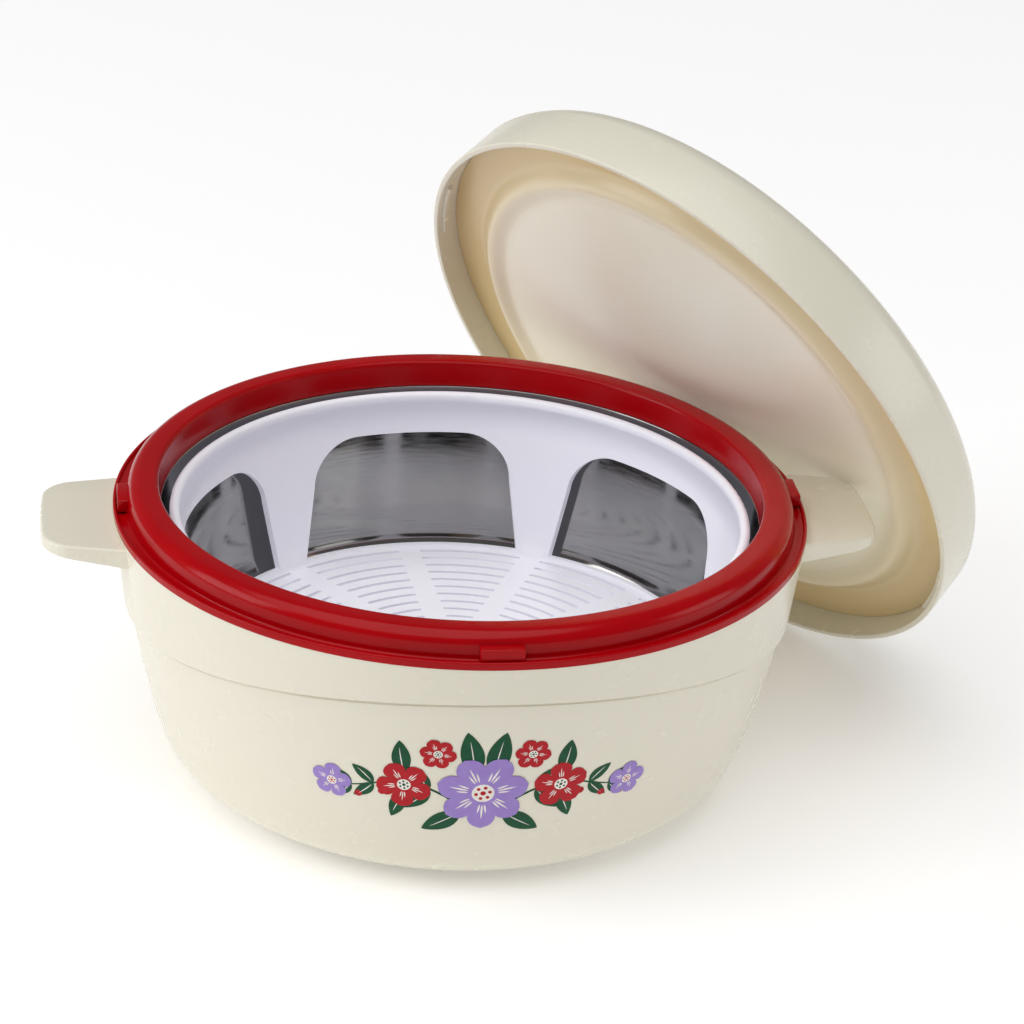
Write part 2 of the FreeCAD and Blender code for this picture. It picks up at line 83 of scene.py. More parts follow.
# Studio: places and sides of the softboxes in metres, and the ceiling's wide light
LEFT_SOFTBOX = ((-1.5, -0.10, 0.70), 0.9)
RIGHT_SOFTBOX = ((1.5, -0.30, 0.55), 0.7)
SOFTBOX_AIM = (0.0, 0.0, 60 * MM)
CEILING_SPREAD = math.radians(70.0)
CEILING_LEAN = math.radians(12.0)

# Sizes in the finishes, in millimetres
CLOUD_SIZE = 42.0             # cloudiness of moulded plastic
SPECK_SIZE = 14.0
PEEL_SIZE = 3.2               # orange peel of its skin
MARK_PITCH = 2.6              # turning marks on the lid's disc
MARK_FADE = (18.0, 85.0)      # radii between which they fade
PAINTED_WARM_SHADE_BAND = (86.0, 105.0)     # radii between which painted warm shade tints the lid's panel
POLISH_SMEAR = 30.0
POLISH_STREAK = 9.0
FOAM_CELL = 1.2
INK_GRAIN = 3.0
PAPER_BLOTCH = 400.0


# Colours and nodes


def linear(code):
    """sRGB hex to the linear colour that a shader takes."""
    channels = [int(code[i:i + 2], 16) / 255.0 for i in (1, 3, 5)]
    return [c / 12.92 if c <= 0.04045 else ((c + 0.055) / 1.055) ** 2.4 for c in channels] + [1.0]


def add(tree, kind, inputs=None, **settings):
    """One node with its settings, its values and its links."""
    node = tree.nodes.new(kind)
    for name, value in settings.items():
        setattr(node, name, value)
    for key, value in (inputs or {}).items():
        if isinstance(value, bpy.types.NodeSocket):
            tree.links.new(value, node.inputs[key])
        else:
            node.inputs[key].default_value = value
    return node


def new_material(name):
    """Empty material with its shader, its output and the object's coordinates."""
    material = bpy.data.materials.new(name)
    material.use_nodes = True
    tree = material.node_tree
    tree.nodes.clear()
    shader = add(tree, "ShaderNodeBsdfPrincipled")
    add(tree, "ShaderNodeOutputMaterial", {"Surface": shader.outputs[0]})
    place = add(tree, "ShaderNodeTexCoord").outputs["Object"]
    return material, tree, shader, place


def maths(tree, operation, *values):
    """Result of one operation on numbers or sockets."""
    return add(tree, "ShaderNodeMath", dict(enumerate(values)), operation=operation).outputs[0]


def tinted(tree, factor, low, high):
    """Colour that goes from low to high with a factor."""
    mix = add(tree, "ShaderNodeMix", {"Factor": factor}, data_type="RGBA")
    mix.inputs[6].default_value = linear(low)
    mix.inputs[7].default_value = linear(high)
    return mix.outputs[2]


def noise(tree, place, size_mm, detail=2.0):
    """Noise whose blotches are about size_mm across."""
    return add(tree, "ShaderNodeTexNoise",
               {"Vector": place, "Scale": 1.0 / (size_mm * MM), "Detail": detail,
                "Roughness": 0.5}).outputs[0]


def ranged(tree, value, low, high, out_low, out_high):
    """A value taken from one range to another."""
    return add(tree, "ShaderNodeMapRange", {"Value": value, "From Min": low, "From Max": high,
                                            "To Min": out_low, "To Max": out_high}).outputs[0]


def bumped(tree, shader, height, strength, depth_mm):
    """Relief on the surface from a height of about 0 to 1."""
    bump = add(tree, "ShaderNodeBump", {"Height": height, "Strength": strength,
                                        "Distance": depth_mm * MM})
    tree.links.new(bump.outputs[0], shader.inputs["Normal"])


def glowing(material, shader, colour, strength):
    """Faint glow that isn't sampled as a lamp, so that it adds no grain."""
    shader.inputs["Emission Color"].default_value = linear(colour)
    shader.inputs["Emission Strength"].default_value = strength
    if hasattr(material, "cycles"):
        material.cycles.emission_sampling = "NONE"


def in_lid_axes(tree, place):
    """Object coordinates seen from the lid: its mouth's middle is 0 and its top is +Z."""
    return add(tree, "ShaderNodeMapping",
               {"Vector": place, "Location": LID_CENTRE,
                "Rotation": (0.0, math.pi / 2 - LID_ELEVATION, LID_HEADING)},
               vector_type="TEXTURE").outputs[0]


def distance_from_axis(tree, place):
    """How far a point is from the Z axis."""
    flat = add(tree, "ShaderNodeVectorMath", {0: place, 1: (1.0, 1.0, 0.0)},
               operation="MULTIPLY").outputs[0]
    return add(tree, "ShaderNodeVectorMath", {0: flat}, operation="LENGTH").outputs["Value"]


def turning_marks(tree, place, pitch_mm):
    """Fine rings round the axis, as a turned mould leaves them."""
    radius = distance_from_axis(tree, place)
    return maths(tree, "SINE", maths(tree, "MULTIPLY", radius, TURN / (pitch_mm * MM)))


def moulded_polypropylene(name, low, high, rough, peel=0.02):
    """Injection-moulded polypropylene: soft gloss, a faint cloudiness and fine orange peel."""
    material, tree, shader, place = new_material(name)
    cloud = noise(tree, place, CLOUD_SIZE, detail=3.0)
    speck = noise(tree, place, SPECK_SIZE, detail=3.0)
    shade = maths(tree, "ADD", cloud, ranged(tree, speck, 0.3, 0.7, -0.03, 0.03))
    colour = tinted(tree, ranged(tree, shade, 0.32, 0.68, 0.0, 1.0), low, high)
    tree.links.new(colour, shader.inputs["Base Color"])
    tree.links.new(ranged(tree, speck, 0.25, 0.75, rough - 0.006, rough + 0.008),
                   shader.inputs["Roughness"])
    bumped(tree, shader, noise(tree, place, PEEL_SIZE), peel, 0.2)
    shader.inputs["IOR"].default_value = 1.49
    return material, tree, shader, place


def ivory_shell_finish():
    """Ivory polypropylene, moulded and lightly polished: warm white with a soft highlight."""
    return moulded_polypropylene("ivory_polypropylene", "#e7e2d0", "#e8e3d2", 0.27)[0]


def lid_panel_finish():
    """The same ivory plastic from a turned mould: fine rings stand out on the disc, and painted
    warm shade tints it towards its edge.
    """
    material, tree, shader, place = moulded_polypropylene(
        "ivory_polypropylene_turned_mould", "#f8f1dc", "#fbf5e2", 0.24)
    local = in_lid_axes(tree, place)
    radius = distance_from_axis(tree, local)
    plain = shader.inputs["Base Color"].links[0].from_socket
    # Painted warm shade: the panel turns tan towards its edge, where its hollow lies in shade
    reach = ranged(tree, radius, PAINTED_WARM_SHADE_BAND[0] * MM, PAINTED_WARM_SHADE_BAND[1] * MM, 0.0, 1.0)
    warm = add(tree, "ShaderNodeMix", {"Factor": reach, 6: plain, 7: linear("#dfc795")},
               data_type="RGBA")
    tree.links.new(warm.outputs[2], shader.inputs["Base Color"])
    fade = ranged(tree, radius, MARK_FADE[0] * MM, MARK_FADE[1] * MM, 1.0, 0.25)
    marks = maths(tree, "MULTIPLY", turning_marks(tree, local, MARK_PITCH), fade)
    height = maths(tree, "ADD", noise(tree, place, PEEL_SIZE), marks)
    bumped(tree, shader, height, 0.10, 0.12)
    return material


def red_collar_finish():
    """Deep red polypropylene, high gloss: thin bright highlights and dark flanks."""
    material, _, shader, _ = moulded_polypropylene(
        "red_gloss_polypropylene", "#a60008", "#b0010a", 0.18, peel=0.01)
    shader.inputs["Specular IOR Level"].default_value = 0.18
    return material


def basket_finish():
    """White polypropylene with a blue-violet tone, satin, with a faint painted glow that brightens
    its wall.
    """
    material, _, shader, _ = moulded_polypropylene(
        "white_polypropylene", "#f0f0f7", "#f2f2f8", 0.30)
    # Painted light: a faint glow that brightens the basket's wall
    glowing(material, shader, "#e6e7fb", 0.15)
    return material


def drawn_steel_finish():
    """Deep-drawn stainless steel, mirror polished: faint rings of the polishing wheel."""
    material, tree, shader, place = new_material("polished_stainless_steel")
    smear = noise(tree, place, POLISH_SMEAR, detail=3.0)
    stretched = add(tree, "ShaderNodeMapping",
                    {"Vector": place, "Scale": (1.0, 1.0, 9.0)}).outputs[0]
    wheel = noise(tree, stretched, POLISH_STREAK, detail=4.0)
    tree.links.new(tinted(tree, smear, "#8e8e8d", "#a3a2a0"), shader.inputs["Base Color"])
    tree.links.new(ranged(tree, wheel, 0.3, 0.7, 0.05, 0.13), shader.inputs["Roughness"])
    bumped(tree, shader, wheel, 0.05, 0.1)
    shader.inputs["Metallic"].default_value = 1.0
    return material


def foam_finish():
    """Rigid polyurethane foam: pale yellow and pitted with fine cells, with painted shade in the
    pits.
    """
    material, tree, shader, place = new_material("polyurethane_foam")
    cells = add(tree, "ShaderNodeTexVoronoi",
                {"Vector": place, "Scale": 1.0 / (FOAM_CELL * MM)}).outputs[0]
    # Painted shade: darker yellow in the pits of the cells
    tree.links.new(tinted(tree, ranged(tree, cells, 0.0, 0.6, 0.0, 1.0), "#c9b877", "#efe3b4"),
                   shader.inputs["Base Color"])
    bumped(tree, shader, cells, 0.5, 0.4)
    shader.inputs["Roughness"].default_value = 0.9
    return material


def transfer_ink_finish(name, low, high):
    """Heat-transfer print ink: flat film, a little uneven in strength."""
    material, tree, shader, place = new_material(name)
    uneven = noise(tree, place, INK_GRAIN, detail=4.0)
    tree.links.new(tinted(tree, ranged(tree, uneven, 0.35, 0.65, 0.0, 1.0), low, high),
                   shader.inputs["Base Color"])
    tree.links.new(ranged(tree, uneven, 0.3, 0.7, 0.30, 0.42), shader.inputs["Roughness"])
    shader.inputs["Specular IOR Level"].default_value = 0.2
    return material


# Meshes


def object_from(bm, name, material):
    """Finished object at the origin from a bmesh."""
    mesh = bpy.data.meshes.new(name)
    bm.to_mesh(mesh)
    bm.free()
    mesh.shade_smooth()
    mesh.set_sharp_from_angle(angle=SHARP_ANGLE)
    mesh.materials.clear()
    mesh.materials.append(material)
    piece = bpy.data.objects.new(name, mesh)
    bpy.context.scene.collection.objects.link(piece)
    return piece


def smooth_copy(node, name, material):
    """Welded copy of a frame node, so that its curved faces shade smoothly."""
    bm = bmesh.new()
    bm.from_mesh(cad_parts[node].data)
    bmesh.ops.remove_doubles(bm, verts=bm.verts, dist=WELD)
    return object_from(bm, name, material)


def welded(bm):
    """Merges double points and takes out faces without area."""
    bmesh.ops.remove_doubles(bm, verts=bm.verts, dist=WELD)
    bmesh.ops.dissolve_degenerate(bm, edges=bm.edges, dist=WELD)
    return bm


def skin(bm, a, b):
    """Band of faces between two loops of points."""
    for i in range(len(a)):
        j = (i + 1) % len(a)
        bm.faces.new((a[i], a[j], b[j], b[i]))


def stand_for(piece, node, body):
    """Puts a piece in place of a frame node: hides the node and sets the piece on its body."""
    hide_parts(node)
    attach(piece, body)


# Geometry trees


def tree_with_inputs(name, inputs):
    """Empty geometry tree with a geometry input, named inputs and a geometry output."""
    tree = bpy.data.node_groups.new(name, "GeometryNodeTree")
    tree.interface.new_socket("Shape", in_out="INPUT", socket_type="NodeSocketGeometry")
    for label, kind in inputs:
        tree.interface.new_socket(label, in_out="INPUT", socket_type="NodeSocket" + kind)
    tree.interface.new_socket("Result", in_out="OUTPUT", socket_type="NodeSocketGeometry")
    return tree, add(tree, "NodeGroupInput").outputs


def finish_tree(tree, geometry, finish):
    """Realize Instances, Set Material and the output."""
    real = add(tree, "GeometryNodeRealizeInstances", {0: geometry})
    done = add(tree, "GeometryNodeSetMaterial", {"Geometry": real.outputs[0], "Material": finish})
    add(tree, "NodeGroupOutput", {0: done.outputs[0]})
    return tree


def repeat_round_tree():
    """Repeats one shape round Z, with a slightly uneven size where asked for."""
    tree, source = tree_with_inputs("repeat_round", (("Count", "Int"), ("Unevenness", "Float"),
                                                     ("Seed", "Int"), ("Finish", "Material")))
    points = add(tree, "GeometryNodePoints", {"Count": source["Count"]})
    index = add(tree, "GeometryNodeInputIndex")
    share = maths(tree, "DIVIDE", index.outputs[0], source["Count"])
    euler = add(tree, "ShaderNodeCombineXYZ", {"Z": maths(tree, "MULTIPLY", share, TURN)})
    turn = add(tree, "FunctionNodeEulerToRotation", {0: euler.outputs[0]})
    least = maths(tree, "SUBTRACT", 1.0, source["Unevenness"])
    size = add(tree, "FunctionNodeRandomValue", {2: least, 3: 1.0, "Seed": source["Seed"]},
               data_type="FLOAT")
    copies = add(tree, "GeometryNodeInstanceOnPoints",
                 {"Points": points.outputs[0], "Instance": source["Shape"],
                  "Rotation": turn.outputs[0], "Scale": size.outputs[1]})
    return finish_tree(tree, copies.outputs[0], source["Finish"])


def turned_tree():
    """Turns a section round Z: its x is measured out from the hub circle, its y downwards."""
    tree, source = tree_with_inputs("turned_section", (("Hub radius", "Float"), ("Steps", "Int"),
                                                       ("Finish", "Material")))
    section = add(tree, "GeometryNodeMeshToCurve", {0: source["Shape"]})
    circle = add(tree, "GeometryNodeCurvePrimitiveCircle",
                 {"Resolution": source["Steps"], "Radius": source["Hub radius"]})
    swept = add(tree, "GeometryNodeCurveToMesh", {"Curve": circle.outputs[0],
                                                  "Profile Curve": section.outputs[0]})
    return finish_tree(tree, swept.outputs[0], source["Finish"])


def baked(mesh, tree, values):
    """Runs a geometry tree on a mesh and gives the plain result."""
    holder = bpy.data.objects.new("holder", mesh)
    bpy.context.scene.collection.objects.link(holder)
    modifier = holder.modifiers.new("tree", "NODES")
    modifier.node_group = tree
    sockets = {item.name: item.identifier for item in tree.interface.items_tree
               if item.in_out == "INPUT"}
    for name, value in values.items():
        modifier[sockets[name]] = value
    graph = bpy.context.evaluated_depsgraph_get()
    result = bpy.data.meshes.new_from_object(holder.evaluated_get(graph))
    bpy.data.objects.remove(holder)
    return result


def named_tree(name, build):
    """The geometry tree of that name, built once."""
    return bpy.data.node_groups.get(name) or build()


def repeated(bm, count, material, unevenness=0.0, seed=0):
    """One shape repeated round Z."""
    one = bpy.data.meshes.new("one")
    bm.to_mesh(one)
    bm.free()
    whole = bmesh.new()
    whole.from_mesh(baked(one, named_tree("repeat_round", repeat_round_tree),
                          {"Count": count, "Unevenness": unevenness, "Seed": seed,
                           "Finish": material}))
    return whole


# Sections in millimetres: (radius, height, rounding), with the air on the left hand


def rounded(corners):
    """Outline with its corners rounded by their own radius."""
    points = []
    for i, (x, y, radius) in enumerate(corners):
        here = Vector((x, y))
        if radius == 0.0:
            points.append(here)
            continue
        before = (Vector(corners[i - 1][:2]) - here).normalized()
        after = (Vector(corners[(i + 1) % len(corners)][:2]) - here).normalized()
        half = before.angle(after) / 2
        reach = radius / math.tan(half)
        middle = here + (before + after).normalized() * radius / math.sin(half)
        start = here + before * reach - middle
        end = here + after * reach - middle
        steps = max(3, int(math.degrees(math.pi - 2 * half) / ROUND_STEP))
        for k in range(steps + 1):
            share = k / steps
            points.append(middle + start.lerp(end, share).normalized() * radius)
    return points


def bulged(a, b, rise, steps):
    """Points of an arc from a to b that stands out of its chord, on the left hand, by rise."""
    a, b = Vector(a), Vector(b)
    along = (b - a).normalized()
    out = Vector((-along.y, along.x))
    half = (b - a).length / 2
    radius = (half * half + rise * rise) / (2 * rise)
    centre = (a + b) / 2 + out * (rise - radius)
    widest = math.asin(half / radius)
    points = []
    for k in range(steps + 1):
        angle = widest * (2 * k / steps - 1)
        points.append(centre + out * radius * math.cos(angle) + along * radius * math.sin(angle))
    return points


def turned(points, material):
    """Bmesh of a closed section turned round Z, in metres."""
    hub = 60 * MM
    mesh = bpy.data.meshes.new("section")
    edges = [(i, (i + 1) % len(points)) for i in range(len(points))]
    mesh.from_pydata([(p[0] * MM - hub, -p[1] * MM, 0.0) for p in points], edges, [])
    bm = bmesh.new()
    bm.from_mesh(baked(mesh, named_tree("turned_section", turned_tree),
                       {"Hub radius": hub, "Steps": TURNED_STEPS, "Finish": material}))
    return welded(bm)


def joined(bm, other):
    """Adds one bmesh to another."""
    mesh = bpy.data.meshes.new("joined")
    other.to_mesh(mesh)
    other.free()
    bm.from_mesh(mesh)
    bpy.data.meshes.remove(mesh)
    return bm


def block(low, high, edge):
    """Box with bevelled edges, in millimetres."""
    bm = bmesh.new()
    bmesh.ops.create_cube(bm, size=1.0)
    size = Vector(high) - Vector(low)
    middle = (Vector(high) + Vector(low)) / 2
    bm.transform(Matrix.Translation(middle * MM) @ Matrix.Diagonal((*(size * MM), 1.0)))
    bmesh.ops.bevel(bm, geom=bm.edges[:], offset=edge * MM, segments=3, profile=0.5,
                    affect="EDGES")
    return bm


# Pot's sizes in millimetres

RIM = 120.0
JOINT = 96.0                  # height where the shell ends and the collar starts
SHELL_WALL = 2.2
BASE_RADIUS = 82.0
BOWL_FOOT_SLOPE = 2.6         # how fast the bowl widens where it leaves its flat base
BOWL_STEPS = 30
BOWL = ((0.05, 28.6), (0.12, 19.8), (0.22, 15.2), (0.35, 11.9), (0.50, 8.6), (0.68, 5.4),
        (0.86, 2.9), (1.00, 1.8))      # share of the joint's height, inset from the rim
BAND_INSET = 0.2
BAND_SLOPE = 0.112
BAND_DEPTH = 13.2
BAND_ARC = 396.0
BAND_EDGE = 0.3               # rounding of the band's lower edge
BAND_GROOVE = 0.5             # fine groove under that edge
HANDLE_REACH = 23.4
HANDLE_ROOT = 60.0
HANDLE_TIP = 49.0
HANDLE_DROP = 1.4
HANDLE_ROOT_DEPTH = 7.0
HANDLE_TIP_DEPTH = 3.6
HANDLE_CORNER = 11.0
HANDLE_ROUND = 1.1
HANDLE_ROUND_STEPS = 6
HANDLE_BOW = 1.2
HANDLE_DRAFT = 0.3            # how far the hollow's wall leans in
HANDLE_START = 117.4          # the handle begins on this circle, inside the band's wall

# Collar's sizes in millimetres: radii, and heights above the base

BEAD_TOP = 106.4
BEAD_OUT = 114.6
BEAD_IN = 104.6
BEAD_FOOT = 115.6             # where the bead's outside meets the flange
FLANGE = 97.5
LIP_TOP = 98.7
LIP_FOOT = 118.8
LIP_IN = 118.9
SLEEVE_OUT = 115.8            # sleeve that goes down inside the shell
SLEEVE_IN = 113.6
SLEEVE_FOOT = 90.0
HOLLOW_OUT = (112.0, 103.4)   # hollow under the bead
HOLLOW_IN = (106.8, 104.2)
SEAT = 96.7                   # underside that holds the liner's rim
SEAT_OUT = 105.7
SEAT_IN = 103.5
LUG_COUNT = 4
LUG_IN = 114.4
LUG_OUT = 118.6
LUG_WIDTH = 14.5
LUG_LOW = 98.1
LUG_HIGH = 102.7
LUG_EDGE = 0.7

# Liner's sizes in millimetres

LINER_FLOOR = 29.0
LINER_UNDER = 28.4
LINER_FOOT = 97.9
LINER_FOOT_OUT = 98.4
LINER_BEND = 11.0             # rounding from the floor to the wall
LINER_BEND_OUT = 11.6
LINER_MOUTH = 103.6
LINER_MOUTH_OUT = 104.2
LINER_RIM = 111.2
LINER_RIM_TOP = 96.6
LINER_RIM_UNDER = 96.0


def bowl_radius(height):
    """Outside of the bowl at a height, smooth through the outline's points."""
    knots = [(0.0, BASE_RADIUS)] + [(share * JOINT, RIM - inset) for share, inset in BOWL]
    for i in range(len(knots) - 1):
        if height <= knots[i + 1][0] or i == len(knots) - 2:
            break
    before, after = knots[max(i - 1, 0)], knots[min(i + 2, len(knots) - 1)]
    (z0, r0), (z1, r1) = knots[i], knots[i + 1]
    slope0 = (r1 - before[1]) / (z1 - before[0])
    slope1 = (after[1] - r0) / (after[0] - z0)
    if i == 0:
        slope0 = BOWL_FOOT_SLOPE
    t = (height - z0) / (z1 - z0)
    return ((2 * t ** 3 - 3 * t ** 2 + 1) * r0 + (t ** 3 - 2 * t ** 2 + t) * (z1 - z0) * slope0
            + (3 * t ** 2 - 2 * t ** 3) * r1 + (t ** 3 - t ** 2) * (z1 - z0) * slope1)


def band_edge_height(angle):
    """Height of the band's lower edge: it dips towards the handles."""
    x = RIM * math.cos(angle)
    return JOINT - BAND_DEPTH - BAND_ARC + math.sqrt(BAND_ARC ** 2 - x ** 2)


def shell_outline(angle):
    """From the joint down the outside to the base's middle, then up the inside."""
    edge = band_edge_height(angle)
    band = [(RIM - BAND_INSET - BAND_SLOPE * (JOINT - z), z)
            for z in (JOINT, (JOINT + edge) / 2, edge + BAND_EDGE)]
    lip = RIM - BAND_INSET - BAND_SLOPE * (JOINT - edge)
    heights = [(edge - 3 * BAND_GROOVE) * (1 - math.cos(math.pi / 2 * k / BOWL_STEPS))
               for k in range(BOWL_STEPS, -1, -1)]
    bowl = [(bowl_radius(z), z) for z in heights]
    corner = 0.3 * BAND_EDGE
    groove = bowl_radius(edge) - BAND_GROOVE
    outside = band + [(lip - corner, edge + corner), (lip - BAND_EDGE, edge),
                      (groove, edge), (groove, edge - 2 * BAND_GROOVE)] + bowl
    inside = [(r - SHELL_WALL, max(z, SHELL_WALL)) for r, z in bowl[::-1]]
    top = RIM - BOWL[-1][1] - SHELL_WALL
    return (outside + [(0.0, 0.0), (0.0, SHELL_WALL)] + inside
            + [(top, JOINT - 1.0), (top, JOINT)])


def grid_turned(outline_at):
    """Turned form whose outline changes with the angle, in metres, air on the left hand."""
    bm = bmesh.new()
    columns = []
    for k in range(SHELL_STEPS):
        angle = TURN * k / SHELL_STEPS
        columns.append([bm.verts.new((r * math.cos(angle) * MM, r * math.sin(angle) * MM, z * MM))
                        for r, z in outline_at(angle)])
    for k in range(SHELL_STEPS):
        skin(bm, columns[k], columns[(k + 1) % SHELL_STEPS])
    welded(bm)
    bmesh.ops.recalc_face_normals(bm, faces=bm.faces)
    return bm


def handle_root(y):
    """Where the handle begins, inside the band's wall."""
    return math.sqrt(HANDLE_START ** 2 - y ** 2)


def handle_loop(inset):
    """Plan of the handle at +X, drawn in by inset."""
    tip = RIM + HANDLE_REACH - inset
    half_root = HANDLE_ROOT / 2 - inset
    half_tip = HANDLE_TIP / 2 - inset
    corner = HANDLE_CORNER - inset
    plan = rounded([(handle_root(half_root), -half_root, 0.0), (tip, -half_tip, corner),
                    (tip, half_tip, corner), (handle_root(half_root), half_root, 0.0)])
    outer = []
    for p, q in zip(plan, plan[1:]):
        for k in range(4):
            outer.append(p.lerp(q, k / 4))
    reach = tip - HANDLE_START
    bowed = [Vector((p.x + HANDLE_BOW * max(0.0, 1 - (p.y / half_tip) ** 2)
                     * max(0.0, p.x - HANDLE_START) / reach, p.y)) for p in outer]
    root_ys = [half_root * (1 - k / 4) for k in range(8)]
    return bowed + [Vector((handle_root(y), y)) for y in root_ys]


def handle_mesh():
    """Tab handle at +X with a rounded top edge and a hollow underside, in metres."""
    top = JOINT - HANDLE_DROP
    low = top - HANDLE_ROOT_DEPTH
    root = handle_root(HANDLE_ROOT / 2)
    rise = (HANDLE_ROOT_DEPTH - HANDLE_TIP_DEPTH) / (RIM + HANDLE_REACH - root)

    def level(height):
        return lambda p: height

    def under(p):
        return low + rise * (p.x - root)

    layers = []
    for k in range(HANDLE_ROUND_STEPS + 1):
        angle = math.pi / 2 * k / HANDLE_ROUND_STEPS
        layers.append((HANDLE_ROUND * (1 - math.sin(angle)),
                       level(top - HANDLE_ROUND * (1 - math.cos(angle)))))
    layers += [(0.0, under), (SHELL_WALL, under),
               (SHELL_WALL + HANDLE_DRAFT, level(top - SHELL_WALL))]
    bm = bmesh.new()
    loops = [[bm.verts.new((p.x * MM, p.y * MM, height_at(p) * MM)) for p in handle_loop(inset)]
             for inset, height_at in layers]
    for a, b in zip(loops, loops[1:]):
        for i in range(len(a)):
            j = (i + 1) % len(a)
            bm.faces.new((a[i], b[i], b[j], a[j]))
    bm.faces.new(loops[0])
    bm.faces.new(loops[-1][::-1])
    bmesh.ops.triangulate(bm, faces=bm.faces)
    welded(bm)
    bmesh.ops.recalc_face_normals(bm, faces=bm.faces)
    return bm


# Lid's sizes in millimetres, mouth at 0

LID_WALL = 2.2
SKIRT_HEIGHT = 19.0
SKIRT_INSET = 1.2
SHOULDER = (102.0, 29.0)
SHOULDER_BULGE = 3.6
SHOULDER_STEPS = 12
SHOULDER_IN = 1.0             # how much nearer the axis the inside's shoulder is
SKIRT_TOP_DROP = 0.6          # how much lower the inside's skirt ends
MOUTH_ROUND = 0.6
DOME_TOP = 42.0
DOME_STEPS = 24
PANEL_LEDGE = 9.8
PANEL_DISC = 6.7
PANEL_WALL = 1.8
PANEL_EDGE = 116.98
PANEL_RIM = 5.0               # height of the rim that stands on the ledge
RING_OUT = 103.2
RING_CREST = (96.0, 4.8)
RING_IN = 88.5
FLANK_STEPS = 10
RIB_ROOT = 0.2                # how far a bayonet rib goes into the skirt
RIB_DEPTH = 1.6
RIB_LOW = 2.4
RIB_HIGH = 4.2
RIB_HALF_WIDTH = 15.5
RIB_ANGLE = math.radians(28.0)
RIB_STEPS = 16


def dome_points(drop, edge):
    """From the dome's middle out to its edge, lowered by drop."""
    rise = DOME_TOP - SHOULDER[1]
    radius = (SHOULDER[0] ** 2 + rise ** 2) / (2 * rise)
    centre = DOME_TOP - radius
    radii = [edge * k / DOME_STEPS for k in range(DOME_STEPS + 1)]
    return [(r, centre + math.sqrt((radius - drop) ** 2 - r ** 2)) for r in radii]


def lid_outline():
    """Dome, shoulder and skirt outside, the mouth's rounded edge, then the inside."""
    skirt_top = (RIM - SKIRT_INSET, SKIRT_HEIGHT)
    outside = dome_points(0.0, SHOULDER[0])
    outside += bulged(SHOULDER, skirt_top, SHOULDER_BULGE, SHOULDER_STEPS)[1:]
    inner_dome = dome_points(LID_WALL, SHOULDER[0] - SHOULDER_IN)
    inner_top = (skirt_top[0] - LID_WALL, SKIRT_HEIGHT - SKIRT_TOP_DROP)
    inside = bulged(inner_dome[-1], inner_top, SHOULDER_BULGE, SHOULDER_STEPS)[::-1]
    inside += inner_dome[::-1]
    corners = [(*p, 0.0) for p in outside]
    corners += [(RIM, 0.0, MOUTH_ROUND), (RIM - LID_WALL, 0.0, MOUTH_ROUND)]
    corners += [(*p, 0.0) for p in inside]
    return rounded(corners)


def flank(foot, crest):
    """Smooth rise from a foot to a crest."""
    points = []
    for k in range(FLANK_STEPS + 1):
        share = (1 - math.cos(math.pi * k / FLANK_STEPS)) / 2
        points.append((foot[0] + (crest[0] - foot[0]) * k / FLANK_STEPS,
                       foot[1] + (crest[1] - foot[1]) * share))
    return points


def panel_outline():
    """Panel's face from its edge to the middle, then its back."""
    face = [(PANEL_EDGE, PANEL_LEDGE)]
    face += flank((RING_OUT, PANEL_LEDGE), RING_CREST)
    face += flank((RING_IN, PANEL_DISC), RING_CREST)[::-1][1:]
    face.append((0.0, PANEL_DISC))
    back = [(r, z + PANEL_WALL) for r, z in face[::-1]]
    back[-1] = (PANEL_EDGE - PANEL_WALL, PANEL_LEDGE + PANEL_WALL)
    rim = PANEL_LEDGE + PANEL_RIM
    rim_edge = PANEL_EDGE - SKIRT_INSET * PANEL_RIM / SKIRT_HEIGHT
    return face + back + [(rim_edge - PANEL_WALL, rim), (rim_edge, rim)]


def lid_matrix():
    """From the lid's own axes to where it leans."""
    return (Matrix.Translation(LID_CENTRE) @ Matrix.Rotation(LID_HEADING, 4, "Z")
            @ Matrix.Rotation(math.pi / 2 - LID_ELEVATION, 4, "Y"))


def lock_rib():
    """Bayonet rib inside the skirt, in metres, lid's own axes."""
    outer = RIM - LID_WALL + RIB_ROOT
    inner = RIM - LID_WALL - RIB_DEPTH
    section = ((outer, RIB_LOW), (inner, RIB_LOW), (inner, RIB_HIGH), (outer, RIB_HIGH))
    half = math.asin(RIB_HALF_WIDTH / inner)
    bm = bmesh.new()
    rows = []
    for k in range(RIB_STEPS + 1):
        angle = RIB_ANGLE + half * (2 * k / RIB_STEPS - 1)
        rows.append([bm.verts.new((r * math.cos(angle) * MM, r * math.sin(angle) * MM, z * MM))
                     for r, z in section])
    for a, b in zip(rows, rows[1:]):
        skin(bm, a, b)
    bm.faces.new(rows[0])
    bm.faces.new(rows[-1])
    bmesh.ops.recalc_face_normals(bm, faces=bm.faces)
    return bm


def collar_outline():
    """Bead, flange and lip outside, the sleeve, then the hollow and the liner's seat."""
    return rounded([(BEAD_IN, BEAD_TOP, 1.8), (BEAD_OUT, BEAD_TOP, 4.8),
                    (BEAD_FOOT, FLANGE, 0.9), (LIP_FOOT, FLANGE, 0.3), (LIP_IN, LIP_TOP, 0.45),
                    (RIM, LIP_TOP, 0.5), (RIM, JOINT, 0.3), (SLEEVE_OUT, JOINT, 0.0),
                    (SLEEVE_OUT, SLEEVE_FOOT, 0.5), (SLEEVE_IN, SLEEVE_FOOT, 0.5),
                    (SLEEVE_IN, JOINT, 0.0), (*HOLLOW_OUT, 0.0), (*HOLLOW_IN, 0.0),
                    (SEAT_OUT, SEAT, 0.0), (SEAT_IN, SEAT, 0.4)])


